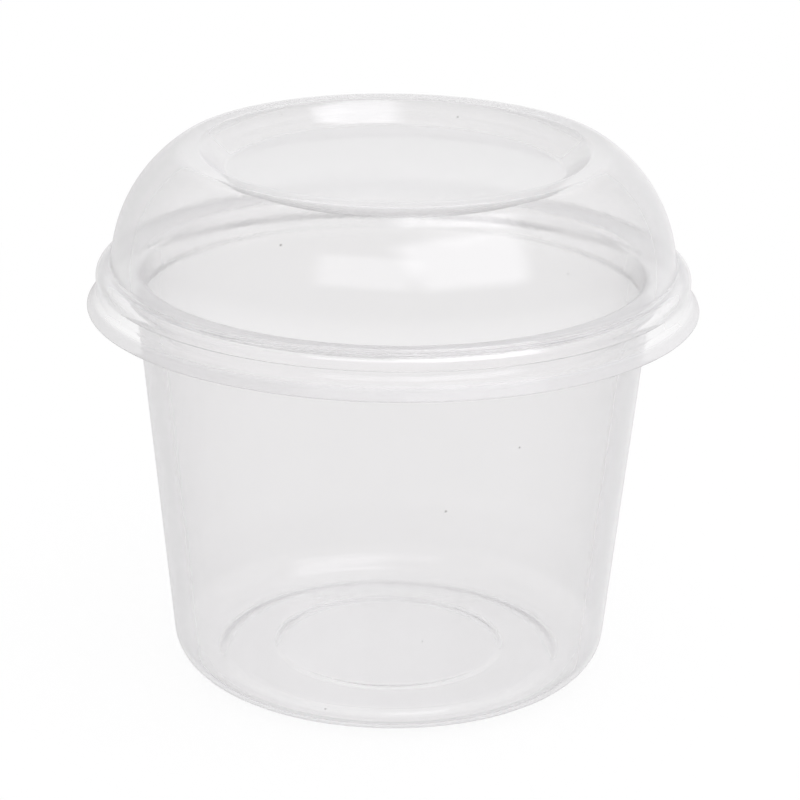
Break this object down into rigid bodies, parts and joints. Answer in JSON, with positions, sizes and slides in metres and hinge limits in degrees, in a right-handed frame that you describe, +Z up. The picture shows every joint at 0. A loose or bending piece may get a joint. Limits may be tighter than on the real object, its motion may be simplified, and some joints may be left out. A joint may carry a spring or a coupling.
{
  "type": "disposable dessert bowl with lid",
  "caption": "Clear thin-walled dessert bowl with a tapered round wall, a wide flat rim and a raised base panel, under a domed lid with a recessed top and a flared skirt that grips the rim.",
  "frame": {"origin": "centre of the foot ring, on the surface that the bowl stands on", "axes": "+Z up along the axis of the round bowl and lid; X and Y are any two level directions, with -Y towards the viewer"},
  "size_m": [0.104, 0.104, 0.0919],
  "materials": {
    "bowl_sheet": "clear, faintly hazy thin sheet with a soft gloss",
    "lid_sheet": "clear thin sheet, glossy"
  },
  "bodies": {
    "bowl": {"bowl": "bowl_sheet"},
    "lid": {"lid": "lid_sheet"}
  },
  "joints": [
    {"name": "lid_lift", "type": "slide", "parent": "bowl", "child": "lid", "axis": [0, 0, 1], "range_m": [0, 0.08]}
  ]
}
